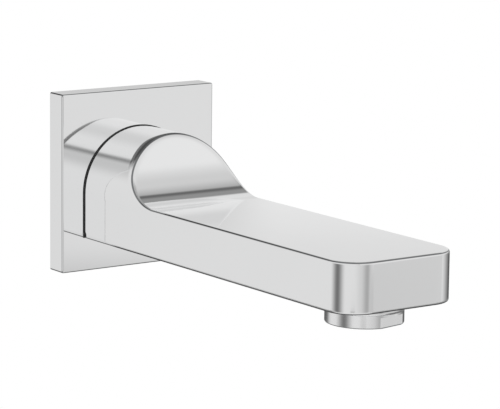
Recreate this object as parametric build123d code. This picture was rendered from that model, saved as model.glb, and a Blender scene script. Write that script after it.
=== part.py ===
from build123d import *
import math
import os

# Wall-mounted bath spout, in millimetres.
# The wall is the plane Y = 0, the spout points along -Y, +Z is up and X runs across it.
# The origin is the centre of the wall flange's back. A distance is measured from the wall.

# Wall flange, a square casting that is hollow at the back
flange_side = 80.6
flange_depth = 10.4
flange_plate = 2.5
flange_rim = 2.4
flange_edge_radius = 0.8
flange_corner_radius = 1.0
gasket_width = 4.0
gasket_thickness = 3.5
gasket_clearance = 0.1
hole_collar_wall = 2.4
hole_collar_height = 3.4

# Black ring that keeps the spout's root off the flange
shadow_gap = 1.15
gap_ring_setback = 1.6
gap_ring_width = 2.6

# Outside of the spout's casting
projection = 205.3
spout_width = 57.7
arch_crown_height = 23.6
blade_top_height = -3.9
root_underside_height = -25.3
tip_underside_height = -25.1
slope_crown_distance = 37.9
slope_angle = 66.7
slope_foot_radius = 24.0
tip_corner_radius = 12.8
top_edge_radius = 1.3
under_edge_radius = 0.8
casting_wall = 3.6
sharp_edge_angle = 30.0

# Inside of the spout's casting
socket_wall = 3.4
outlet_distance = 178.9
outlet_boss_height = 4.0
outlet_wall = 3.4
outlet_throat_radius = 11.2
outlet_ledge = 2.4

# Connection nipple with a G3/4 male thread, drawn at its outer radius
pipe_thread_radius = 13.22
pipe_thread_length = 13.0
pipe_thread_chamfer = 1.0
pipe_relief_depth = 1.0
nipple_bore_radius = 8.5
nipple_collar_radius = 16.2
nipple_collar_length = 4.0
nipple_shank_radius = 14.0
nipple_reach = 34.5
nipple_chamfer = 0.8
hex_drive_depth = 8.0
thread_seal_thickness = 2.0
flange_hole_clearance = 0.6
shank_clearance = 0.1
nipple_end_clearance = 0.5

# Seals and clamping on the nipple's shank
o_ring_section = 2.0
o_ring_clearance = 0.03
o_ring_groove_width = 3.0
front_o_ring_setback = 3.0
o_ring_spacing = 4.5
clamp_groove_width = 7.2
clamp_groove_depth = 1.2
ring_clearance = 0.05

# Grub screw M6 and its cap
grub_screw_radius = 3.0
grub_screw_length = 9.6
grub_screw_clearance = 0.04
grub_hex_across = 3.0
grub_hex_depth = 3.6
grub_point_chamfer = 1.0
grub_boss_wall = 3.2
cap_head_radius = 4.2
cap_head_thickness = 1.3
cap_sink = 0.2
cap_stem_length = 0.9
cap_clearance = 0.08

# Jet former with an M28x1 thread, drawn at its outer radius
jet_thread_radius = 14.0
jet_thread_length = 8.0
jet_thread_clearance = 0.04
collar_radius = 16.2
collar_height = 5.4
collar_edge_radius = 0.5
wrench_flats_across = 29.6
wrench_flats_height = 4.5
wrench_flats_turn = 10.0
housing_bore_radius = 12.4
housing_lip_height = 1.0
housing_lip_width = 1.2
shell_wall = 1.0
shell_rim_width = 1.2
shell_rim_height = 0.8
washer_thickness = 1.6
washer_width = 2.8
stack_clearance = 0.05
grid_thickness = 3.0
grid_cell_across = 2.2
grid_web = 0.5
screen_rim_height = 0.8
screen_mesh_thickness = 0.4
screen_rim_width = 1.0
screen_opening = 1.5
screen_bar = 0.8
jet_plate_thickness = 2.4
jet_hole_radius = 0.6
jet_hole_count = 20
jet_ring_setback = 2.6
regulator_thickness = 2.6
regulator_groove_depth = 1.5
regulator_groove_width = 3.4
regulator_ring_section = 2.0
regulator_hole_radius = 0.7
regulator_hole_count = 10
regulator_groove_setback = 2.0
strainer_base_height = 0.9
strainer_wall = 0.8
strainer_side_height = 3.2
strainer_dome_height = 2.2
strainer_flat_radius = 5.2
strainer_slot_width = 1.0
strainer_slot_height = 2.3
strainer_slot_bottom = 1.8
strainer_slot_count = 16
strainer_setback = 0.9

# Values worked out from the ones above
half_width = spout_width / 2
arch_centre_height = arch_crown_height - half_width
root_distance = flange_depth + shadow_gap
socket_radius = nipple_shank_radius + shank_clearance
socket_end = nipple_reach + nipple_end_clearance
chamber_start = socket_end + casting_wall
front_o_ring_distance = nipple_reach - front_o_ring_setback
rear_o_ring_distance = front_o_ring_distance - o_ring_spacing
rear_groove_start = rear_o_ring_distance - o_ring_groove_width / 2
clamp_groove_distance = (root_distance + rear_groove_start) / 2
hole_radius = nipple_collar_radius + flange_hole_clearance
collar_front = thread_seal_thickness + nipple_collar_length
clamp_radius = nipple_shank_radius - clamp_groove_depth
groove_radius = socket_radius - o_ring_section
outer_reach = projection + flange_side
on_base = (Align.CENTER, Align.CENTER, Align.MIN)
under_top = (Align.CENTER, Align.CENTER, Align.MAX)


def underside_height(distance):
    """Height of the casting's underside, which rises a little from root to tip."""
    share = (distance - root_distance) / (projection - root_distance)
    return root_underside_height + share * (tip_underside_height - root_underside_height)


boss_bottom = underside_height(outlet_distance) - outlet_boss_height
boss_middle = underside_height(outlet_distance) + casting_wall / 2
collar_bottom = boss_bottom - collar_height
housing_top = boss_bottom + jet_thread_length
shell_top = housing_top + shell_rim_height
washer_top = shell_top + washer_thickness
ledge_top = washer_top + outlet_ledge
shell_outer_radius = housing_bore_radius - stack_clearance
shell_inner_radius = shell_outer_radius - shell_wall
stack_radius = shell_inner_radius - stack_clearance
grid_bottom = collar_bottom + housing_lip_height + stack_clearance
screen_bottom = grid_bottom + grid_thickness
jet_plate_bottom = screen_bottom + 2 * screen_rim_height
regulator_bottom = jet_plate_bottom + jet_plate_thickness
strainer_bottom = regulator_bottom + regulator_thickness


def at_wall(distance, shape):
    """Places a flat sketch parallel to the wall, X across and Z up."""
    return Plane.XZ.offset(distance) * shape


def turned(outline):
    """Turns (radius, distance) points round the nipple's axis."""
    points = [(radius, -distance) for radius, distance in outline]
    return revolve(make_face(Polyline(*points, close=True)), Axis.Y)


def ring_on_nipple(inner, outer, start, end):
    """A plain ring round the nipple's axis between two distances."""
    return extrude(at_wall(start, Circle(outer) - Circle(inner)), amount=end - start)


def at_outlet(shape, height):
    """Moves a shape that is built on the XY plane to a height on the outlet's axis."""
    return Pos(0, -outlet_distance, height) * shape


def disc(outer, bottom, top, inner=0.0):
    """A disc or ring on the outlet's axis."""
    face = Circle(outer)
    if inner > 0:
        face = face - Circle(inner)
    return at_outlet(extrude(face, amount=top - bottom), bottom)


def arch_section(inset):
    """Flat-bottomed arch of the root, moved inwards by an inset."""
    side = half_width - inset
    bottom = root_underside_height + inset
    foot = Line((-side, bottom), (side, bottom))
    right = Line(foot @ 1, (side, arch_centre_height))
    crown = ThreePointArc(right @ 1, (0, arch_centre_height + side), (-side, arch_centre_height))
    left = Line(crown @ 1, foot @ 0)
    return make_face(foot + right + crown + left)


def side_profile(inset):
    """Side view of the casting: crown, steep face, swept foot, flat blade and rising underside."""
    over_crown = arch_crown_height + casting_wall
    slope_run = (over_crown - blade_top_height) / math.tan(math.radians(slope_angle))
    slope_top = slope_crown_distance - casting_wall / math.tan(math.radians(slope_angle))
    slope_foot = slope_top + slope_run
    outline = Polyline(
        (-root_distance, root_underside_height),
        (-projection, tip_underside_height),
        (-projection, blade_top_height),
        (-slope_foot, blade_top_height),
        (-slope_top, over_crown),
        (-root_distance, over_crown),
        close=True,
    )
    face = make_face(outline)
    foot = face.vertices().sort_by_distance((-slope_foot, blade_top_height))[0]
    face = fillet(foot, slope_foot_radius)
    if inset > 0:
        face = offset(face, -inset, kind=Kind.INTERSECTION)
    return Plane.YZ * face


def blade_plan(inset, start):
    """Plan of the casting from a start distance to the tip, with round tip corners."""
    length = projection - inset - start
    width = spout_width - 2 * inset
    plan = Pos(0, -start - length / 2) * Rectangle(width, length)
    corners = plan.vertices().group_by(Axis.Y)[0]
    return fillet(corners, tip_corner_radius - inset)


def is_sharp(form, edge):
    """True for an edge where two faces of a form meet at more than the sharp angle."""
    normals = [face.normal_at(edge.center()) for face in form.faces() if edge in face.edges()]
    return abs(normals[0].dot(normals[1])) < math.cos(math.radians(sharp_edge_angle))


def plain_form(inset, start):
    """Arched tunnel cut by the side profile and the plan, from a start distance and moved inwards by an inset."""
    tunnel = extrude(at_wall(start, arch_section(inset)), amount=projection - start)
    profile = extrude(side_profile(inset), amount=spout_width, both=True)
    plan = extrude(blade_plan(inset, start), amount=outer_reach, both=True)
    return tunnel & profile & plan


def outer_form():
    """Outside of the casting with its small edge radii, its root left sharp against the black ring."""
    form = plain_form(0, root_distance)
    ahead = form.edges().filter_by(lambda edge: edge.center().Y < -root_distance - top_edge_radius)
    upper = ahead.filter_by(lambda edge: edge.center().Z > blade_top_height - top_edge_radius)
    form = fillet(upper.filter_by(lambda edge: is_sharp(form, edge)), top_edge_radius)
    underside = form.faces().sort_by(Axis.Z)[0]
    lower = underside.edges().filter_by(lambda edge: edge.center().Y < -root_distance - under_edge_radius)
    return fillet(lower, under_edge_radius)


def root_pocket():
    """Hollow behind the root, open to the wall, round the socket and the screw's boss."""
    pocket = extrude(at_wall(root_distance, arch_section(casting_wall)), amount=socket_end - root_distance)
    socket = free_cylinder(socket_radius + socket_wall, root_distance, socket_end)
    boss_side = 2 * (grub_screw_radius + grub_boss_wall)
    boss_height = -root_underside_height
    boss = Pos(0, -clamp_groove_distance, -boss_height / 2) * Box(boss_side, boss_side, boss_height)
    return pocket - socket - boss


def waterway():
    """Hollow from the nipple's socket, which runs through the web in front of it, and along the blade."""
    socket = free_cylinder(socket_radius, root_distance, chamber_start)
    return socket + plain_form(casting_wall, chamber_start)


def free_cylinder(radius, start, end):
    """A plain cylinder round the nipple's axis between two distances."""
    return extrude(at_wall(start, Circle(radius)), amount=end - start)


def outlet_hole():
    """Threaded hole for the jet former, with a ledge for its washer and a throat above."""
    thread = disc(jet_thread_radius, boss_bottom, washer_top)
    throat = disc(outlet_throat_radius, washer_top, ledge_top)
    return thread + throat


def grub_hole():
    """Screw hole from the underside into the socket, with a recess for the cap's head."""
    top = -clamp_radius
    bottom = underside_height(clamp_groove_distance)
    shaft = Cylinder(grub_screw_radius, top - bottom, align=on_base)
    recess_depth = cap_head_thickness + cap_sink
    recess = Cylinder(cap_head_radius + cap_clearance, 2 * recess_depth)
    return Pos(0, -clamp_groove_distance, bottom) * (shaft + recess)


def spout_body():
    """Hollow chromed casting."""
    boss = disc(collar_radius, boss_bottom, boss_middle)
    inner_boss = disc(jet_thread_radius + outlet_wall, boss_middle, ledge_top)
    body = outer_form() + boss - root_pocket() - waterway()
    body = body + inner_boss - outlet_hole() - grub_hole()
    return body


def wall_flange():
    """Square wall plate, hollow at the back, with a collar round its hole."""
    outline = RectangleRounded(flange_side, flange_side, flange_corner_radius)
    plate = extrude(at_wall(0, outline), amount=flange_depth)
    front_edges = plate.faces().sort_by(Axis.Y)[0].edges()
    plate = fillet(front_edges, flange_edge_radius)
    groove_side = flange_side - 2 * flange_rim
    pocket_side = groove_side - 2 * (gasket_width + gasket_clearance)
    pocket_depth = flange_depth - flange_plate
    plate = plate - extrude(at_wall(0, Rectangle(groove_side, groove_side)), amount=gasket_thickness)
    plate = plate - extrude(at_wall(0, Rectangle(pocket_side, pocket_side)), amount=pocket_depth)
    collar_start = pocket_depth - hole_collar_height
    collar = ring_on_nipple(hole_radius, hole_radius + hole_collar_wall, collar_start, pocket_depth)
    hole = free_cylinder(hole_radius, 0, flange_depth)
    return plate + collar - hole


def flange_wall_gasket():
    """Foam frame in the flange's rim that seals it to the wall."""
    outer = flange_side - 2 * flange_rim - 2 * gasket_clearance
    inner = outer - 2 * gasket_width
    frame = Rectangle(outer, outer) - Rectangle(inner, inner)
    return extrude(at_wall(0, frame), amount=gasket_thickness)


def flange_centring_ring():
    """Rubber ring between the nipple's shank and the flange's hole."""
    inner = nipple_shank_radius + ring_clearance
    outer = hole_radius - ring_clearance
    return ring_on_nipple(inner, outer, collar_front + ring_clearance, flange_depth - ring_clearance)


def root_gap_seal():
    """Black ring that fills the shadow gap, set back from the casting's outline."""
    frame = arch_section(gap_ring_setback) - arch_section(gap_ring_setback + gap_ring_width)
    return extrude(at_wall(flange_depth, frame), amount=shadow_gap)


def groove(centre, width, radius):
    """Outline points of a groove in the nipple's shank."""
    start = centre - width / 2
    end = centre + width / 2
    return [(nipple_shank_radius, start), (radius, start), (radius, end), (nipple_shank_radius, end)]


def connection_nipple():
    """Turned brass nipple: male thread, relief, collar, shank with grooves and a hexagon inside."""
    relief_radius = pipe_thread_radius - pipe_relief_depth
    outline = [
        (nipple_bore_radius, -pipe_thread_length),
        (pipe_thread_radius - pipe_thread_chamfer, -pipe_thread_length),
        (pipe_thread_radius, -pipe_thread_length + pipe_thread_chamfer),
        (pipe_thread_radius, 0),
        (relief_radius, 0),
        (relief_radius, thread_seal_thickness),
        (nipple_collar_radius, thread_seal_thickness),
        (nipple_collar_radius, collar_front),
        (nipple_shank_radius, collar_front),
    ]
    outline += groove(clamp_groove_distance, clamp_groove_width, clamp_radius)
    outline += groove(rear_o_ring_distance, o_ring_groove_width, groove_radius)
    outline += groove(front_o_ring_distance, o_ring_groove_width, groove_radius)
    outline += [
        (nipple_shank_radius, nipple_reach - nipple_chamfer),
        (nipple_shank_radius - nipple_chamfer, nipple_reach),
        (nipple_bore_radius, nipple_reach),
    ]
    hexagon = RegularPolygon(nipple_bore_radius, 6, major_radius=False)
    drive = extrude(at_wall(nipple_reach - hex_drive_depth, hexagon), amount=hex_drive_depth)
    return turned(outline) - drive


def nipple_thread_seal():
    """Flat ring between the nipple's collar and the outlet in the wall."""
    inner = pipe_thread_radius - pipe_relief_depth + ring_clearance
    return ring_on_nipple(inner, nipple_collar_radius, 0, thread_seal_thickness)


def nipple_o_ring(distance):
    """O-ring pressed between a groove of the nipple and the casting's socket."""
    section_radius = o_ring_section / 2 - o_ring_clearance
    middle = groove_radius + o_ring_section / 2
    ring = Torus(middle, section_radius)
    return Pos(0, -distance, 0) * Rot(90, 0, 0) * ring


def grub_screw():
    """Set screw that clamps the casting in the nipple's groove."""
    radius = grub_screw_radius - grub_screw_clearance
    top = -clamp_radius - ring_clearance
    screw = Cylinder(radius, grub_screw_length, align=under_top)
    point = screw.edges().group_by(Axis.Z)[-1]
    screw = chamfer(point, grub_point_chamfer)
    socket = extrude(RegularPolygon(grub_hex_across / 2, 6, major_radius=False), amount=grub_hex_depth)
    screw = screw - Pos(0, 0, -grub_screw_length) * socket
    return Pos(0, -clamp_groove_distance, top) * screw


def grub_screw_cap():
    """Small plug that closes the screw's hole flush with the underside."""
    head = Cylinder(cap_head_radius, cap_head_thickness, align=on_base)
    stem_radius = grub_screw_radius - cap_clearance
    stem = Cylinder(stem_radius, cap_stem_length, align=on_base)
    cap = head + Pos(0, 0, cap_head_thickness) * stem
    return Pos(0, -clamp_groove_distance, underside_height(clamp_groove_distance) + cap_sink) * cap


def aerator_housing():
    """Threaded sleeve with a round collar and two wrench flats."""
    sleeve = disc(jet_thread_radius - jet_thread_clearance, boss_bottom, housing_top)
    collar = disc(collar_radius, collar_bottom, boss_bottom)
    rim = collar.edges().group_by(Axis.Z)[0]
    collar = fillet(rim, collar_edge_radius)
    blank = 2 * collar_radius
    keep = Box(blank, wrench_flats_across, wrench_flats_height, align=on_base)
    waste = Box(2 * blank, 2 * blank, wrench_flats_height, align=on_base) - keep
    collar = collar - at_outlet(Rot(0, 0, wrench_flats_turn) * waste, collar_bottom)
    bore = disc(housing_bore_radius, collar_bottom + housing_lip_height, housing_top)
    mouth = disc(housing_bore_radius - housing_lip_width, collar_bottom, housing_top)
    return sleeve + collar - bore - mouth


def aerator_gasket():
    """Flat washer between the jet former and the ledge in the casting."""
    outer = jet_thread_radius - stack_clearance
    return disc(outer, shell_top, washer_top, outer - washer_width)


def aerator_cartridge_shell():
    """Plastic sleeve that holds the stack, hung by its rim on the housing."""
    sleeve = disc(shell_outer_radius, grid_bottom, shell_top, shell_inner_radius)
    rim = disc(shell_outer_radius + shell_rim_width, housing_top, shell_top, shell_inner_radius)
    return sleeve + rim


def hex_centres(pitch, reach):
    """Centres of a triangular pattern that lie within a reach of the axis."""
    rows = math.ceil(reach / (pitch * math.sin(math.radians(60))))
    columns = math.ceil(reach / pitch) + 1
    centres = []
    for row in range(-rows, rows + 1):
        for column in range(-columns, columns + 1):
            x = (column + (row % 2) / 2) * pitch
            y = row * pitch * math.sin(math.radians(60))
            if math.hypot(x, y) <= reach:
                centres.append((x, y))
    return centres


def aerator_honeycomb():
    """Outlet grid with hexagonal cells."""
    pitch = grid_cell_across + grid_web
    cell = RegularPolygon(grid_cell_across / 2, 6, major_radius=False, rotation=30)
    centres = hex_centres(pitch, stack_radius - grid_web - grid_cell_across / math.sqrt(3))
    cells = Sketch() + [Pos(x, y) * cell for x, y in centres]
    return at_outlet(extrude(Circle(stack_radius) - cells, amount=grid_thickness), grid_bottom)


def aerator_screen(bottom):
    """Mixing screen: a thin square mesh in a thicker rim."""
    pitch = screen_opening + screen_bar
    inner = stack_radius - screen_rim_width
    reach = inner - screen_opening / math.sqrt(2)
    count = math.floor(reach / pitch)
    mesh = Circle(stack_radius)
    for row in range(-count, count + 1):
        for column in range(-count, count + 1):
            if math.hypot(row, column) * pitch <= reach:
                mesh = mesh - Pos(column * pitch, row * pitch) * Rectangle(screen_opening, screen_opening)
    rim = Circle(stack_radius) - Circle(inner)
    plate = extrude(mesh, amount=screen_mesh_thickness) + extrude(rim, amount=screen_rim_height)
    return at_outlet(plate, bottom)


def aerator_jet_plate():
    """Plate whose ring of fine holes splits the water into jets."""
    middle = stack_radius - jet_ring_setback
    face = Circle(stack_radius) - PolarLocations(middle, jet_hole_count) * Circle(jet_hole_radius)
    return at_outlet(extrude(face, amount=jet_plate_thickness), jet_plate_bottom)


def regulator_middle():
    """Radius of the flow regulator's groove."""
    return stack_radius - regulator_groove_setback - regulator_groove_width / 2


def aerator_regulator_plate():
    """Flow regulator: a plate with a groove for its ring and holes in the groove's floor."""
    middle = regulator_middle()
    holes = PolarLocations(middle, regulator_hole_count) * Circle(regulator_hole_radius)
    plate = extrude(Circle(stack_radius) - holes, amount=regulator_thickness)
    track = Circle(middle + regulator_groove_width / 2) - Circle(middle - regulator_groove_width / 2)
    floor = regulator_thickness - regulator_groove_depth
    plate = plate - Pos(0, 0, floor) * extrude(track, amount=regulator_groove_depth)
    return at_outlet(plate, regulator_bottom)


def aerator_regulator_ring():
    """Elastic ring in the regulator's groove that narrows the way as pressure rises."""
    ring = Torus(regulator_middle(), regulator_ring_section / 2)
    floor = regulator_bottom + regulator_thickness - regulator_groove_depth
    return at_outlet(ring, floor + regulator_ring_section / 2)


def aerator_strainer():
    """Slotted dome that keeps grit out of the regulator."""
    outer = stack_radius - strainer_setback
    inner = outer - strainer_wall
    side_top = strainer_base_height + strainer_side_height
    dome_top = side_top + strainer_dome_height
    outline = Polyline(
        (inner, 0),
        (stack_radius, 0),
        (stack_radius, strainer_base_height),
        (outer, strainer_base_height),
        (outer, side_top),
        (strainer_flat_radius, dome_top),
        (0, dome_top),
        (0, dome_top - strainer_wall),
        (strainer_flat_radius, dome_top - strainer_wall),
        (inner, side_top),
        close=True,
    )
    dome = revolve(Plane.XZ * make_face(outline), Axis.Z)
    length = outer - strainer_flat_radius
    slot = Box(length, strainer_slot_width, strainer_slot_height, align=on_base)
    for place in PolarLocations(outer, strainer_slot_count):
        dome = dome - Pos(0, 0, strainer_slot_bottom) * place * slot
    return at_outlet(dome, strainer_bottom)


nodes = {
    "spout_body": spout_body(),
    "wall_flange": wall_flange(),
    "flange_wall_gasket": flange_wall_gasket(),
    "flange_centring_ring": flange_centring_ring(),
    "root_gap_seal": root_gap_seal(),
    "connection_nipple": connection_nipple(),
    "nipple_thread_seal": nipple_thread_seal(),
    "nipple_o_ring_rear": nipple_o_ring(rear_o_ring_distance),
    "nipple_o_ring_front": nipple_o_ring(front_o_ring_distance),
    "grub_screw": grub_screw(),
    "grub_screw_cap": grub_screw_cap(),
    "aerator_housing": aerator_housing(),
    "aerator_gasket": aerator_gasket(),
    "aerator_cartridge_shell": aerator_cartridge_shell(),
    "aerator_honeycomb": aerator_honeycomb(),
    "aerator_screen_lower": aerator_screen(screen_bottom),
    "aerator_screen_upper": aerator_screen(screen_bottom + screen_rim_height),
    "aerator_jet_plate": aerator_jet_plate(),
    "aerator_regulator_plate": aerator_regulator_plate(),
    "aerator_regulator_ring": aerator_regulator_ring(),
    "aerator_strainer": aerator_strainer(),
}

os.makedirs("parts", exist_ok=True)
for name, shape in nodes.items():
    export_step(shape, f"parts/{name}.step")
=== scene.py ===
"""Bath spout on its square wall flange: materials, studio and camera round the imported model."""
import math

import bpy
from mathutils import Matrix, Vector


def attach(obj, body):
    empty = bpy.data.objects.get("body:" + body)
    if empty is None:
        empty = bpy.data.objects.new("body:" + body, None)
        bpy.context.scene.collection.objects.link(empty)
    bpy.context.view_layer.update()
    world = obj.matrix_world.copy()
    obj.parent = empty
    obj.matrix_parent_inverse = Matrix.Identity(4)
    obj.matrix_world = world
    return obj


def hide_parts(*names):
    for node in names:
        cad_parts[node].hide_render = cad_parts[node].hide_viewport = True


MM = 0.001

# Camera: where it stands and its roll in degrees, distance and target in metres, lens and sensor in mm
CAMERA_AZIMUTH = -35.261
CAMERA_ELEVATION = 10.207
CAMERA_ROLL = 0.678
CAMERA_DISTANCE = 1.197185
CAMERA_LENS = 194.207
CAMERA_SENSOR = 36.0
CAMERA_TARGET = Vector((0.027037, -0.059731, -0.007627))

# Light: the lamp, the strength of the world's plain light, and the last glossy depth of a first mirroring
LAMP_PLACE = (-0.7, -1.2, 1.3)
LAMP_AIM = Vector((0.0, -0.1, 0.0))
LAMP_SIZE = 1.2
LAMP_POWER = 9.0
PLAIN_LIGHT = 0.85
FIRST_MIRRORING = 1.5

# Floor, with the shares of its radius between which it fades into the background
FLOOR_RADIUS = 1.3
FLOOR_MIDDLE = (0.0, -0.1, -1.0)
FLOOR_FADE = (0.35, 0.95)
FLOOR_DARK = (0.80, 0.80, 0.80)
FLOOR_LIGHT = (0.83, 0.83, 0.83)

# Colours, linear
WHITE = (1.0, 1.0, 1.0, 1.0)
CHROME_DARK = (0.850, 0.852, 0.854)
CHROME_LIGHT = (0.864, 0.866, 0.868)
CHROME_LEVEL = 0.86
# Painted shade: paler for edge roundings and the spout's hollow, deeper for the crescent reflection
# behind the arch's rim and the lower edge at the root
PAINTED_EDGE_SHADE = (0.22, 0.225, 0.23)
PAINTED_DEEPEST_SHADE = (0.09, 0.09, 0.092)
BRASS_DARK = (0.60, 0.42, 0.17)
BRASS_LIGHT = (0.78, 0.60, 0.30)
CAST_DARK = (0.30, 0.27, 0.22)
CAST_LIGHT = (0.52, 0.49, 0.43)
STEEL_DARK = (0.50, 0.50, 0.51)
STEEL_LIGHT = (0.70, 0.70, 0.71)

# Roughness of the plating, least and most
FINE_CHROME = (0.03, 0.05)
PLAIN_CHROME = (0.10, 0.16)

# Outside of the spout, in metres: distances are from the wall, heights from the spout's axis
HALF_WIDTH = 0.02885
REACH_OF_SPOUT = 0.2053
TIP_CORNER = 0.0128
ARCH_CENTRE = -0.00525
BLADE_TOP = -0.0039
UNDERSIDE = -0.0253
UNDERSIDE_RISE = 0.00103
ROOT_DISTANCE = 0.01155
SLOPE_DISTANCE = 0.0379
SLOPE_HEIGHT = 0.0236
SLOPE_ANGLE = math.radians(66.7)
FOOT_RADIUS = 0.024
FOOT_START = 0.0435
FOOT_END = 0.06554
FLANGE_HALF = 0.0403
FLANGE_FRONT = 0.0104
COLLAR_BOTTOM = -0.03453

# Painted shade along the spout's edges, for the dark reflections in their roundings: the depths under
# both neighbouring faces between which the painted shade ends, and what is added to the lower edge at the
# root, up to the distances where that has faded out
TOP_EDGE = (0.0005, 0.0007)
LOW_EDGE = (0.0004, 0.0007)
LOW_EDGE_EXTRA = 0.00015
NEAR_ROOT = (0.05, 0.13)

# Painted shade along the flange's edges, for the dark reflections in their roundings, paler away from its
# top and bottom, and along the jet former's collar
FLANGE_EDGE = (0.00006, 0.00018)
FLANGE_CORNER = (0.0008, 0.0014)
FLANGE_UPRIGHT_SHARE = 0.25
COLLAR_EDGE_START = (0.00002, 0.00006)
COLLAR_EDGE_END = (0.0003, 0.0005)

# Depths under the outside from which the spout's hollow gets painted shade and the flange's back is bare
# casting
HOLLOW_START = (0.0006, 0.0009)
FLANGE_RIM = 0.0012
FLANGE_SKIN = 0.0016

# Painted dark reflection in a crescent behind the arch's rim, for its rounding: how far it reaches back
# at the crown and at the side
SHOULDER_CROWN = 0.0012
SHOULDER_SIDE = 0.0034
SHOULDER_TURN = (0.002, 0.015)
SHOULDER_FADE = 0.0006
SHOULDER_SHARE = 0.9
SHOULDER_HEIGHTS = (0.009, 0.015)
SHOULDER_START = 0.0002

# Softer looks of the arch's rim and of the lower edges: radius, and where it sets in
RIM_RADIUS = 0.004
RIM_HEIGHTS = (-0.004, 0.004)
RIM_DISTANCES = (0.016, 0.024)
LOW_RADIUS = 0.0018
LOW_HEIGHTS = (-0.022, -0.0235)
BEVEL_SAMPLES = 16

# Black seal in the joint: offsets from the root's outline, in metres
SEAL_INNER = -0.0042
SEAL_OUTER = -0.0016
SEAL_LIP = 0.00035
SEAL_SOFTNESS = 0.0001
SEAL_GAP = 0.00002
SEAL_FLUSH = -0.0002
SEAL_STEPS = 120

# Connection nipple as the model has it, in mm, and its real thread
THREAD_RADIUS = 13.22
THREAD_LENGTH = 13.0
THREAD_CHAMFER = 1.0
THREAD_PITCH = 1.814
THREAD_DEPTH = 1.162
THREAD_CREST = 0.12
THREAD_FLANK = 0.76
THREAD_STEPS = 14
RUNOUT_START = 0.3
RUNOUT_LENGTH = 1.2
RELIEF_RADIUS = 12.22
RELIEF_END = 2.0
COLLAR_RADIUS = 16.2
COLLAR_END = 6.0
COLLAR_CHAMFER = 0.3
SHANK_RADIUS = 14.0
CLAMP_GROOVE = (18.525, 3.6, 12.8)
REAR_GROOVE = (27.0, 1.5, 12.1)
FRONT_GROOVE = (31.5, 1.5, 12.1)
BORE_RADIUS = 8.5
REACH = 34.5
END_CHAMFER = 0.8
HEX_START = 26.5
COLUMNS = 180
SHARP_ANGLE = math.radians(40)


def node(tree, kind, inputs=None, **settings):
    """Adds a node with its settings, and fills its inputs with values or links."""
    item = tree.nodes.new(kind)
    for name, value in settings.items():
        setattr(item, name, value)
    for key, value in (inputs or {}).items():
        socket = item.inputs[key]
        if isinstance(value, bpy.types.NodeSocket):
            tree.links.new(value, socket)
        else:
            socket.default_value = value
    return item


def maths(tree, operation, a, b=0.0, c=0.0):
    """One step of arithmetic."""
    return node(tree, "ShaderNodeMath", {0: a, 1: b, 2: c}, operation=operation).outputs[0]


def length(tree, a, b):
    """Length of a line with two sides at a right angle."""
    squares = maths(tree, "ADD", maths(tree, "MULTIPLY", a, a), maths(tree, "MULTIPLY", b, b))
    return maths(tree, "SQRT", squares)


def choice(tree, share, first, second):
    """A number between two, by a share."""
    return node(tree, "ShaderNodeMix", {0: share, 2: first, 3: second}, data_type="FLOAT").outputs[0]


def noise(tree, place, scale, detail=3.0, roughness=0.5):
    """Soft noise between 0 and 1 over the object's own coordinates."""
    inputs = {"Vector": place, "Scale": scale, "Detail": detail, "Roughness": roughness}
    return node(tree, "ShaderNodeTexNoise", inputs).outputs[0]


def spread(tree, value, low, high, start, end, kind="SMOOTHSTEP"):
    """Maps a value from low..high to start..end, softly at both ends unless the kind is linear."""
    inputs = {0: value, 1: low, 2: high, 3: start, 4: end}
    return node(tree, "ShaderNodeMapRange", inputs, interpolation_type=kind).outputs[0]


def blend(tree, share, first, second):
    """A colour between two, by a share."""
    item = node(tree, "ShaderNodeMix", data_type="RGBA")
    for name, value in (("Factor_Float", share), ("A_Color", first), ("B_Color", second)):
        socket = next(s for s in item.inputs if s.identifier == name)
        if isinstance(value, bpy.types.NodeSocket):
            tree.links.new(value, socket)
        else:
            socket.default_value = value if name == "Factor_Float" else (*value, 1.0)
    return next(s for s in item.outputs if s.identifier == "Result_Color")


def material(name, **values):
    """A new material with a principled shader, and the tree, the shader and the coordinates."""
    item = bpy.data.materials.new(name)
    item.use_nodes = True
    tree = item.node_tree
    tree.nodes.clear()
    shader = node(tree, "ShaderNodeBsdfPrincipled")
    output = node(tree, "ShaderNodeOutputMaterial")
    tree.links.new(shader.outputs[0], output.inputs[0])
    for key, value in values.items():
        shader.inputs[key.replace("_", " ")].default_value = value
    place = node(tree, "ShaderNodeTexCoord").outputs["Object"]
    return item, tree, shader, place


def relief(tree, shader, height, strength, distance, normal=None):
    """Turns a height into a small bump, on top of another normal where there is one."""
    inputs = {"Height": height, "Strength": strength, "Distance": distance}
    if normal is not None:
        inputs["Normal"] = normal
    bump = node(tree, "ShaderNodeBump", inputs)
    tree.links.new(bump.outputs[0], shader.inputs["Normal"])


def wander(tree, shader, place, scale, rough):
    """Lets the roughness wander between two values."""
    fine = noise(tree, place, scale, 2.0)
    tree.links.new(spread(tree, fine, 0.3, 0.7, *rough), shader.inputs["Roughness"])


def two_tones(name, dark, light, scale, rough, grain, **values):
    """A material whose colour wanders between two tones, with a wandering roughness and a grain."""
    item, tree, shader, place = material(name, **values)
    cloud = noise(tree, place, scale)
    tree.links.new(blend(tree, cloud, dark, light), shader.inputs["Base Color"])
    wander(tree, shader, place, scale * 4.0, rough)
    relief(tree, shader, noise(tree, place, 4500.0, 4.0, 0.6), 0.35, grain)
    return item


def plating(tree, place):
    """Colour of the bright plating, which wanders a little."""
    return blend(tree, noise(tree, place, 30.0), CHROME_DARK, CHROME_LIGHT)


def chrome(name, rough, paint_shade=None, rounded=None):
    """Polished plating, faintly wavy, with functions that paint shade into its colour and soften its
    edges.
    """
    item, tree, shader, place = material(name, Metallic=1.0)
    colour = plating(tree, place)
    if paint_shade:
        colour = paint_shade(tree, place, colour)
    tree.links.new(colour, shader.inputs["Base Color"])
    wander(tree, shader, place, 120.0, rough)
    normal = rounded(tree, place) if rounded else None
    relief(tree, shader, noise(tree, place, 22.0, 1.0), 0.25, 0.00006, normal)
    return item


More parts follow.
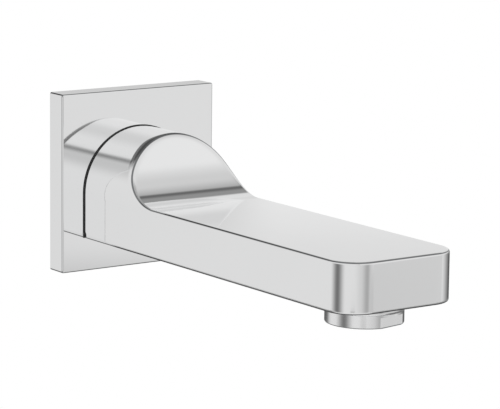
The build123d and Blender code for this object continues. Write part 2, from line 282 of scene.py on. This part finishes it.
def depth_under_side(tree, x, distance, height):
    """Depth of a point under the spout's sides, rounded tip and arch."""
    over = maths(tree, "MAXIMUM", maths(tree, "SUBTRACT", height, ARCH_CENTRE), 0.0)
    arch = maths(tree, "SUBTRACT", HALF_WIDTH, length(tree, x, over))
    aside = maths(tree, "SUBTRACT", maths(tree, "ABSOLUTE", x), HALF_WIDTH - TIP_CORNER)
    ahead = maths(tree, "SUBTRACT", distance, REACH_OF_SPOUT - TIP_CORNER)
    corner = length(tree, maths(tree, "MAXIMUM", aside, 0.0), maths(tree, "MAXIMUM", ahead, 0.0))
    flat = maths(tree, "MINIMUM", maths(tree, "MAXIMUM", aside, ahead), 0.0)
    tip = maths(tree, "SUBTRACT", TIP_CORNER, maths(tree, "ADD", corner, flat))
    return maths(tree, "MINIMUM", arch, tip)


def depth_under_top(tree, distance, height):
    """Depth of a point under the slope, its rounded foot and the blade's top."""
    blade = maths(tree, "SUBTRACT", BLADE_TOP, height)
    back = maths(tree, "SUBTRACT", SLOPE_DISTANCE, distance)
    down = maths(tree, "SUBTRACT", SLOPE_HEIGHT, height)
    back = maths(tree, "MULTIPLY", back, math.sin(SLOPE_ANGLE))
    slope = maths(tree, "ADD", back, maths(tree, "MULTIPLY", down, math.cos(SLOPE_ANGLE)))
    beyond = maths(tree, "SUBTRACT", distance, FOOT_END)
    above = maths(tree, "SUBTRACT", height, BLADE_TOP + FOOT_RADIUS)
    foot = maths(tree, "SUBTRACT", length(tree, beyond, above), FOOT_RADIUS)
    started = maths(tree, "GREATER_THAN", distance, FOOT_START)
    ended = maths(tree, "GREATER_THAN", distance, FOOT_END)
    return choice(tree, ended, choice(tree, started, slope, foot), blade)


def depth_under_bottom(tree, distance, height):
    """Depth of a point above the underside, which rises a little towards the tip."""
    risen = maths(tree, "MULTIPLY", maths(tree, "SUBTRACT", distance, ROOT_DISTANCE), UNDERSIDE_RISE)
    return maths(tree, "SUBTRACT", maths(tree, "SUBTRACT", height, UNDERSIDE), risen)


def spout_place(tree, place):
    """Sideways place, distance from the wall and height of a point."""
    x, y, height = node(tree, "ShaderNodeSeparateXYZ", {0: place}).outputs
    return x, maths(tree, "MULTIPLY", y, -1.0), height


def crescent(tree, x, height, top):
    """Share of the painted dark reflection, a crescent behind the arch's rim, widest at the side."""
    reach = spread(tree, maths(tree, "ABSOLUTE", x), *SHOULDER_TURN, SHOULDER_CROWN, SHOULDER_SIDE)
    behind = spread(tree, maths(tree, "SUBTRACT", top, reach), 0.0, SHOULDER_FADE, 1.0, 0.0)
    raised = spread(tree, height, *SHOULDER_HEIGHTS, 0.0, SHOULDER_SHARE)
    share = maths(tree, "MULTIPLY", behind, raised)
    return maths(tree, "MULTIPLY", share, maths(tree, "GREATER_THAN", top, SHOULDER_START))


def spout_painted_shade(tree, place, colour):
    """The spout's colour, with painted shade in its edge roundings and in the hollow, and a painted dark
    reflection behind the arch's rim.
    """
    x, distance, height = spout_place(tree, place)
    side = depth_under_side(tree, x, distance, height)
    top = depth_under_top(tree, distance, height)
    under = depth_under_bottom(tree, distance, height)
    depth = maths(tree, "MINIMUM", maths(tree, "MINIMUM", top, under), side)
    # Painted shade in the hollow and along the upper and lower edges
    hollow = spread(tree, depth, *HOLLOW_START, 0.0, 1.0)
    upper = spread(tree, maths(tree, "MAXIMUM", top, side), *TOP_EDGE, 1.0, 0.0)
    rooted = spread(tree, distance, *NEAR_ROOT, 1.0, 0.0)
    extra = maths(tree, "MULTIPLY", rooted, LOW_EDGE_EXTRA)
    low = maths(tree, "SUBTRACT", maths(tree, "MAXIMUM", under, side), extra)
    lower = spread(tree, low, *LOW_EDGE, 1.0, 0.0)
    # Painted dark reflection behind the arch's rim
    colour = blend(tree, crescent(tree, x, height, top), colour, PAINTED_DEEPEST_SHADE)
    # Painted shade along the lower edges, deepest near the root
    colour = blend(tree, lower, colour, blend(tree, rooted, PAINTED_EDGE_SHADE, PAINTED_DEEPEST_SHADE))
    return blend(tree, maths(tree, "MAXIMUM", hollow, upper), colour, PAINTED_EDGE_SHADE)


def soft_spout(tree, place):
    """Normal that makes the arch's rim and the lower edges look softer than their small roundings."""
    _, distance, height = spout_place(tree, place)
    high = spread(tree, height, *RIM_HEIGHTS, 0.0, 1.0)
    ahead = spread(tree, distance, *RIM_DISTANCES, 0.0, 1.0)
    rim = maths(tree, "MULTIPLY", maths(tree, "MULTIPLY", high, ahead), RIM_RADIUS)
    low = spread(tree, height, *LOW_HEIGHTS, 0.0, LOW_RADIUS)
    radius = maths(tree, "ADD", rim, low)
    return node(tree, "ShaderNodeBevel", {"Radius": radius}, samples=BEVEL_SAMPLES).outputs[0]


def collar_painted_shade(tree, place, colour):
    """The jet former's colour, with painted shade in the rounding of its lower edge."""
    height = node(tree, "ShaderNodeSeparateXYZ", {0: place}).outputs[2]
    over = maths(tree, "SUBTRACT", height, COLLAR_BOTTOM)
    # Painted shade in a ring just above the lower edge
    started = spread(tree, over, *COLLAR_EDGE_START, 0.0, 1.0)
    ring = maths(tree, "MULTIPLY", started, spread(tree, over, *COLLAR_EDGE_END, 1.0, 0.0))
    return blend(tree, ring, colour, PAINTED_EDGE_SHADE)


def flange_chrome():
    """The same plating, with painted shade along its edges, and bare casting in the hollow at the
    flange's back.
    """
    item, tree, shader, place = material("flange_chrome", Metallic=1.0)
    x, y, z = node(tree, "ShaderNodeSeparateXYZ", {0: place}).outputs
    aside = maths(tree, "SUBTRACT", FLANGE_HALF, maths(tree, "ABSOLUTE", x))
    above = maths(tree, "SUBTRACT", FLANGE_HALF, maths(tree, "ABSOLUTE", z))
    rim = maths(tree, "MINIMUM", aside, above)
    front = maths(tree, "ADD", y, FLANGE_FRONT)
    # Painted shade along the rim and front edges, strongest at the top and bottom
    darkness = spread(tree, above, *FLANGE_CORNER, 1.0, FLANGE_UPRIGHT_SHARE)
    edge = spread(tree, maths(tree, "MINIMUM", rim, front), *FLANGE_EDGE, 0.0, darkness)
    colour = blend(tree, edge, plating(tree, place), PAINTED_EDGE_SHADE)
    within = maths(tree, "GREATER_THAN", rim, FLANGE_RIM)
    inside = maths(tree, "MULTIPLY", within, maths(tree, "GREATER_THAN", front, FLANGE_SKIN))
    casting = blend(tree, noise(tree, place, 400.0, 5.0, 0.7), CAST_DARK, CAST_LIGHT)
    tree.links.new(blend(tree, inside, colour, casting), shader.inputs["Base Color"])
    tree.links.new(spread(tree, inside, 0.0, 1.0, 0.04, 0.55, "LINEAR"), shader.inputs["Roughness"])
    grain = maths(tree, "MULTIPLY", noise(tree, place, 2200.0, 4.0, 0.6), inside)
    relief(tree, shader, grain, 0.5, 0.00012)
    return item


def turned_metal(name, dark, light):
    """Lathe-turned metal: fine rings round the nipple's axis."""
    item, tree, shader, place = material(name, Metallic=1.0, Anisotropic=0.3)
    y = node(tree, "ShaderNodeSeparateXYZ", {0: place}).outputs[1]
    squeezed = node(tree, "ShaderNodeCombineXYZ", {0: 0.0, 1: y, 2: 0.0}).outputs[0]
    rings = noise(tree, squeezed, 9000.0, 2.0, 0.7)
    stain = noise(tree, place, 90.0, 4.0, 0.6)
    tree.links.new(blend(tree, stain, dark, light), shader.inputs["Base Color"])
    tree.links.new(spread(tree, stain, 0.3, 0.7, 0.34, 0.2), shader.inputs["Roughness"])
    relief(tree, shader, rings, 0.4, 0.00003)
    return item


def materials():
    """Every material, by its name."""
    return {
        "polished_chrome": chrome("polished_chrome", PLAIN_CHROME),
        "collar_chrome": chrome("collar_chrome", PLAIN_CHROME, collar_painted_shade),
        "spout_chrome": chrome("spout_chrome", FINE_CHROME, spout_painted_shade, soft_spout),
        "flange_chrome": flange_chrome(),
        "turned_brass": turned_metal("turned_brass", BRASS_DARK, BRASS_LIGHT),
        "black_rubber": two_tones(
            "black_rubber", (0.006, 0.006, 0.0065), (0.018, 0.018, 0.0185), 120.0, (0.55, 0.75), 0.00004
        ),
        "foam_seal": two_tones(
            "foam_seal", (0.045, 0.046, 0.050), (0.105, 0.106, 0.112), 1500.0, (0.85, 0.95), 0.00025
        ),
        "stainless": turned_metal("stainless", STEEL_DARK, STEEL_LIGHT),
        "screen_steel": two_tones(
            "screen_steel", STEEL_DARK, STEEL_LIGHT, 300.0, (0.25, 0.4), 0.00002, Metallic=1.0
        ),
        "white_plastic": two_tones(
            "white_plastic", (0.74, 0.74, 0.72), (0.83, 0.83, 0.81), 60.0, (0.35, 0.5), 0.00002
        ),
        "grey_plastic": two_tones(
            "grey_plastic", (0.36, 0.37, 0.38), (0.46, 0.47, 0.48), 60.0, (0.35, 0.5), 0.00002
        ),
        "blue_plastic": two_tones(
            "blue_plastic", (0.10, 0.22, 0.42), (0.16, 0.31, 0.52), 60.0, (0.35, 0.5), 0.00002
        ),
    }


NODE_MATERIALS = {
    "spout_body": "spout_chrome",
    "wall_flange": "flange_chrome",
    "grub_screw_cap": "polished_chrome",
    "aerator_housing": "collar_chrome",
    "flange_wall_gasket": "foam_seal",
    "flange_centring_ring": "black_rubber",
    "root_gap_seal": "black_rubber",
    "connection_nipple": "turned_brass",
    "nipple_thread_seal": "black_rubber",
    "nipple_o_ring_rear": "black_rubber",
    "nipple_o_ring_front": "black_rubber",
    "grub_screw": "stainless",
    "aerator_gasket": "black_rubber",
    "aerator_cartridge_shell": "white_plastic",
    "aerator_honeycomb": "grey_plastic",
    "aerator_screen_lower": "screen_steel",
    "aerator_screen_upper": "screen_steel",
    "aerator_jet_plate": "grey_plastic",
    "aerator_regulator_plate": "blue_plastic",
    "aerator_regulator_ring": "black_rubber",
    "aerator_strainer": "white_plastic",
}


def dress(nodes, finishes):
    """Gives every CAD node its material."""
    for name, finish in NODE_MATERIALS.items():
        item = nodes[name]
        item.data.materials.clear()
        item.data.materials.append(finishes[finish])


def mesh_object(name, points, faces):
    """A new object in the scene with a mesh of its own."""
    mesh = bpy.data.meshes.new(name)
    mesh.from_pydata(points, [], faces)
    mesh.update()
    item = bpy.data.objects.new(name, mesh)
    bpy.context.scene.collection.objects.link(item)
    return item


def ring_faces(rows, around):
    """Faces between rows of points that go round, with the last row joined to the first."""
    faces = []
    for row in range(rows):
        a, b = row * around, (row + 1) % rows * around
        for column in range(around):
            after = (column + 1) % around
            faces.append((a + column, a + after, b + after, b + column))
    return faces


def thread_radius(angle, distance):
    """Radius of the G3/4 thread at an angle and a distance in front of the wall, in mm."""
    phase = (distance / THREAD_PITCH - angle / (2 * math.pi)) % 1.0
    flank = abs(phase - 0.5) * 2.0
    share = min(max((flank - THREAD_CREST) / THREAD_FLANK, 0.0), 1.0)
    radius = THREAD_RADIUS - THREAD_DEPTH * share
    lead = THREAD_RADIUS - THREAD_CHAMFER + (distance + THREAD_LENGTH)
    runout = min(max((-distance - RUNOUT_START) / RUNOUT_LENGTH, 0.0), 1.0)
    radius = RELIEF_RADIUS + (radius - RELIEF_RADIUS) * runout
    return min(radius, lead)


def hexagon(angle):
    """Radius of the hexagonal drive at an angle."""
    turn = angle % (math.pi / 3) - math.pi / 6
    return BORE_RADIUS / math.cos(turn)


def groove(middle, half_width, radius):
    """Corners of a groove in the nipple's shank."""
    near, far = middle - half_width, middle + half_width
    return [(SHANK_RADIUS, near), (radius, near), (radius, far), (SHANK_RADIUS, far)]


def nipple_rows():
    """Profile of the nipple as (radius function, distance) rows, from the wall end round and back."""
    rows = [(lambda a: BORE_RADIUS, -THREAD_LENGTH)]
    steps = round(THREAD_LENGTH / THREAD_PITCH * THREAD_STEPS)
    for step in range(steps + 1):
        distance = -THREAD_LENGTH + THREAD_LENGTH * step / steps
        rows.append((lambda a, d=distance: thread_radius(a, d), distance))
    plain = [
        (RELIEF_RADIUS, RELIEF_END), (COLLAR_RADIUS - COLLAR_CHAMFER, RELIEF_END),
        (COLLAR_RADIUS, RELIEF_END + COLLAR_CHAMFER), (COLLAR_RADIUS, COLLAR_END - COLLAR_CHAMFER),
        (COLLAR_RADIUS - COLLAR_CHAMFER, COLLAR_END), (SHANK_RADIUS, COLLAR_END),
        *groove(*CLAMP_GROOVE), *groove(*REAR_GROOVE), *groove(*FRONT_GROOVE),
        (SHANK_RADIUS, REACH - END_CHAMFER), (SHANK_RADIUS - END_CHAMFER, REACH),
    ]
    rows += [(lambda a, r=radius: r, distance) for radius, distance in plain]
    rows += [(hexagon, REACH), (hexagon, HEX_START), (lambda a: BORE_RADIUS, HEX_START)]
    return rows


def threaded_nipple(finish):
    """The nipple with its real thread, turned round the Y axis, in place of the plain one."""
    rows = nipple_rows()
    points = []
    for radius, distance in rows:
        for column in range(COLUMNS):
            angle = 2 * math.pi * column / COLUMNS
            r = radius(angle) * MM
            points.append((r * math.cos(angle), -distance * MM, r * math.sin(angle)))
    item = mesh_object("nipple_with_thread", points, ring_faces(len(rows), COLUMNS))
    item.data.shade_smooth()
    item.data.set_sharp_from_angle(angle=SHARP_ANGLE)
    item.data.materials.append(finish)
    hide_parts("connection_nipple")
    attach(item, "root")


def seal_outline(offset):
    """Flat-bottomed arch of the root, moved outwards by an offset, as points of width and height."""
    side = HALF_WIDTH + offset
    bottom = UNDERSIDE - min(offset, SEAL_FLUSH)
    turns = [math.pi * step / SEAL_STEPS for step in range(SEAL_STEPS + 1)]
    crown = [(side * math.cos(turn), ARCH_CENTRE + side * math.sin(turn)) for turn in turns]
    return crown + [(-side, bottom), (side, bottom)]


def lipped_seal(finish):
    """The black seal behind the root, with the soft lip that shows all round the joint."""
    near, far = FLANGE_FRONT + SEAL_GAP, ROOT_DISTANCE - SEAL_GAP
    lip, soft = SEAL_LIP, SEAL_SOFTNESS
    rows = [
        (SEAL_INNER, near), (lip - soft, near), (lip, near + soft), (lip, near + lip),
        (lip - soft, near + lip + soft), (SEAL_OUTER, far), (SEAL_INNER, far),
    ]
    points = [(x, -distance, z) for offset, distance in rows for x, z in seal_outline(offset)]
    faces = ring_faces(len(rows), len(points) // len(rows))
    item = mesh_object("root_seal_with_lip", points, faces)
    item.data.materials.append(finish)
    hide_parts("root_gap_seal")
    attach(item, "root")


def tone(grey):
    """Light of the studio that a grey of 0 to 255 on the chrome comes from."""
    share = grey / 255
    linear = share / 12.92 if share <= 0.04045 else ((share + 0.055) / 1.055) ** 2.4
    return linear / CHROME_LEVEL


# The studio as the chrome sees it: a bright room with soft screens in it, later ones over earlier ones.
# Each is (azimuth, elevation, half width, half height, soft edge across, soft edge upright, tone).
ROOM = 219
SCREENS = [
    # The room's low back part
    (137, -43, 57, 47, 23, 6, 134),
    (140, -64, 98, 42, 10, 4, 112),
    # Level with the camera, for the upright faces
    (-98, -11, 16, 22, 16, 10, 112),
    (-6, -11, 16, 20, 18, 12, 202),
    (11, -11, 10, 20, 13, 12, 166),
    (49, -12, 12.5, 14, 1.5, 6, 204),
    (29, -20, 8, 8.5, 4, 0.5, 192),
    (-40, -20.1, 8, 7.55, 4, 0.1, 182),
    (150, -11, 45, 2.2, 12, 0.8, 84),
    # Raised, for the arch, the slope and its foot
    (14, 31, 11, 6, 8, 6, 205),
    (-24, 23, 6, 8, 8, 6, 192),
    (-156, 23, 6, 8, 8, 6, 192),
    (-18.5, 28.5, 1, 6, 3, 4, 136),
    (75, 60, 30, 18, 20, 10, 204),
    (39, 29, 8, 8, 8, 8, 229),
    (143, 4, 14, 8, 6, 3, 226),
    (152, 10, 7, 8, 1, 3, 196),
    (143, 18, 10, 7.3, 4, 0.9, 213),
    (180, 30, 20, 9, 6, 6, 96),
    # Overhead
    (0, 90, 200, 18, 1, 6, 168),
    (180, 66, 42, 27, 6, 3, 150),
]
# Screens that only a first mirroring shows
NEAR_SCREENS = [
    (120, 56, 26, 16, 22, 4, 165),
    (121.5, 49, 12, 10, 2.5, 3, 142),
    (115, 52, 5, 8, 5, 4, 100),
]


def screen_share(tree, azimuth, elevation, screen):
    """How much of a screen is seen in a direction, soft towards its edges."""
    middle, height, wide, tall, soft, soft_tall, _ = screen
    off = maths(tree, "ABSOLUTE", maths(tree, "SUBTRACT", azimuth, float(middle)))
    off = maths(tree, "PINGPONG", off, 180.0)
    up = maths(tree, "ABSOLUTE", maths(tree, "SUBTRACT", elevation, float(height)))
    across = spread(tree, off, max(wide - soft, 0.0), wide + soft, 1.0, 0.0)
    upright = spread(tree, up, max(tall - soft_tall, 0.0), tall + soft_tall, 1.0, 0.0)
    return maths(tree, "MULTIPLY", across, upright)


def studio():
    """World light: pure white behind the object, plain light on it, and the screens in the chrome."""
    world = bpy.data.worlds.new("studio")
    bpy.context.scene.world = world
    world.use_nodes = True
    tree = world.node_tree
    tree.nodes.clear()
    place = node(tree, "ShaderNodeTexCoord").outputs["Generated"]
    x, y, z = node(tree, "ShaderNodeSeparateXYZ", {0: place}).outputs
    turned = maths(tree, "ARCTAN2", x, maths(tree, "MULTIPLY", y, -1.0))
    azimuth = maths(tree, "DEGREES", turned)
    elevation = maths(tree, "DEGREES", maths(tree, "ARCSINE", z))
    path = node(tree, "ShaderNodeLightPath").outputs
    first = maths(tree, "LESS_THAN", path["Glossy Depth"], FIRST_MIRRORING)
    level = node(tree, "ShaderNodeValue").outputs[0]
    level.default_value = tone(ROOM)
    for screen in SCREENS + NEAR_SCREENS:
        share = screen_share(tree, azimuth, elevation, screen)
        if screen in NEAR_SCREENS:
            share = maths(tree, "MULTIPLY", share, first)
        level = choice(tree, share, level, tone(screen[-1]))
    # A second mirroring loses no light, so that doubly mirrored parts are as bright as the rest
    kept = spread(tree, first, 0.0, 1.0, 1.0 / CHROME_LEVEL, 1.0, "LINEAR")
    seen = node(tree, "ShaderNodeBackground", {"Color": WHITE, "Strength": 1.0}).outputs[0]
    lit = node(tree, "ShaderNodeBackground", {"Color": WHITE, "Strength": PLAIN_LIGHT}).outputs[0]
    room = node(tree, "ShaderNodeBackground", {"Color": level, "Strength": kept}).outputs[0]
    inner = node(tree, "ShaderNodeMixShader", {0: path["Is Glossy Ray"], 1: lit, 2: room}).outputs[0]
    outer = node(tree, "ShaderNodeMixShader", {0: path["Is Camera Ray"], 1: inner, 2: seen}).outputs[0]
    output = node(tree, "ShaderNodeOutputWorld")
    tree.links.new(outer, output.inputs[0])


def disc(name, radius, rings=6, columns=96):
    """A round flat sheet."""
    points = [(0.0, 0.0, 0.0)]
    faces = []
    for ring in range(1, rings + 1):
        for column in range(columns):
            angle = 2 * math.pi * column / columns
            r = radius * ring / rings
            points.append((r * math.cos(angle), r * math.sin(angle), 0.0))
    for column in range(columns):
        after = (column + 1) % columns
        faces.append((0, 1 + column, 1 + after))
        for ring in range(rings - 1):
            low, high = 1 + ring * columns, 1 + (ring + 1) * columns
            faces.append((low + column, high + column, high + after, low + after))
    return mesh_object(name, points, faces)


def floor():
    """Plain pale floor well below the spout, which fades into the white background."""
    item = disc("floor", FLOOR_RADIUS)
    item.location = FLOOR_MIDDLE
    pale, tree, shader, place = material("pale_floor", Roughness=0.75)
    cloud = blend(tree, noise(tree, place, 3.0), FLOOR_DARK, FLOOR_LIGHT)
    tree.links.new(cloud, shader.inputs["Base Color"])
    away = node(tree, "ShaderNodeVectorMath", {0: place}, operation="LENGTH").outputs["Value"]
    fade = spread(tree, away, *(share * FLOOR_RADIUS for share in FLOOR_FADE), 0.0, 1.0)
    path = node(tree, "ShaderNodeLightPath").outputs
    white = node(tree, "ShaderNodeEmission", {"Color": WHITE, "Strength": 1.0}).outputs[0]
    share = maths(tree, "MULTIPLY", fade, path["Is Camera Ray"])
    both = node(tree, "ShaderNodeMixShader", {0: share, 1: shader.outputs[0], 2: white}).outputs[0]
    output = next(n for n in tree.nodes if n.type == "OUTPUT_MATERIAL")
    tree.links.new(both, output.inputs[0])
    item.data.materials.append(pale)
    item.visible_glossy = False


def lamp():
    """One large soft light from above and in front, which the chrome doesn't mirror."""
    data = bpy.data.lights.new("soft_light", "AREA")
    data.shape = "DISK"
    data.size = LAMP_SIZE
    data.energy = LAMP_POWER
    item = bpy.data.objects.new("soft_light", data)
    bpy.context.scene.collection.objects.link(item)
    item.location = LAMP_PLACE
    item.rotation_euler = (LAMP_AIM - item.location).to_track_quat("-Z", "Y").to_euler()
    item.visible_glossy = False


def camera():
    """Camera at the photograph's viewing angle."""
    a, e, r = (math.radians(v) for v in (CAMERA_AZIMUTH, CAMERA_ELEVATION, CAMERA_ROLL))
    backward = Vector((math.sin(a) * math.cos(e), -math.cos(a) * math.cos(e), math.sin(e)))
    right = Vector((math.cos(a), math.sin(a), 0.0))
    up = backward.cross(right)
    right, up = math.cos(r) * right + math.sin(r) * up, math.cos(r) * up - math.sin(r) * right
    place = CAMERA_TARGET + backward * CAMERA_DISTANCE
    data = bpy.data.cameras.new("camera")
    data.lens, data.sensor_width = CAMERA_LENS, CAMERA_SENSOR
    item = bpy.data.objects.new("camera", data)
    bpy.context.scene.collection.objects.link(item)
    item.matrix_world = Matrix((
        (right.x, up.x, backward.x, place.x),
        (right.y, up.y, backward.y, place.y),
        (right.z, up.z, backward.z, place.z),
        (0.0, 0.0, 0.0, 1.0),
    ))
    bpy.context.scene.camera = item


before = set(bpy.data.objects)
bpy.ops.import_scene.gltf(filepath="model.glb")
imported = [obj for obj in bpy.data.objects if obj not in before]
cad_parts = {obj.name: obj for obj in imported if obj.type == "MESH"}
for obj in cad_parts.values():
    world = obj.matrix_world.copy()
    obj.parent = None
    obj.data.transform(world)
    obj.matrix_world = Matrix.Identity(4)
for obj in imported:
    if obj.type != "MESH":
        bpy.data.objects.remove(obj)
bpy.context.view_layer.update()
finishes = materials()
dress(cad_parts, finishes)
threaded_nipple(finishes["turned_brass"])
lipped_seal(finishes["black_rubber"])
studio()
floor()
lamp()
camera()
bpy.context.scene.view_settings.view_transform = "Standard"
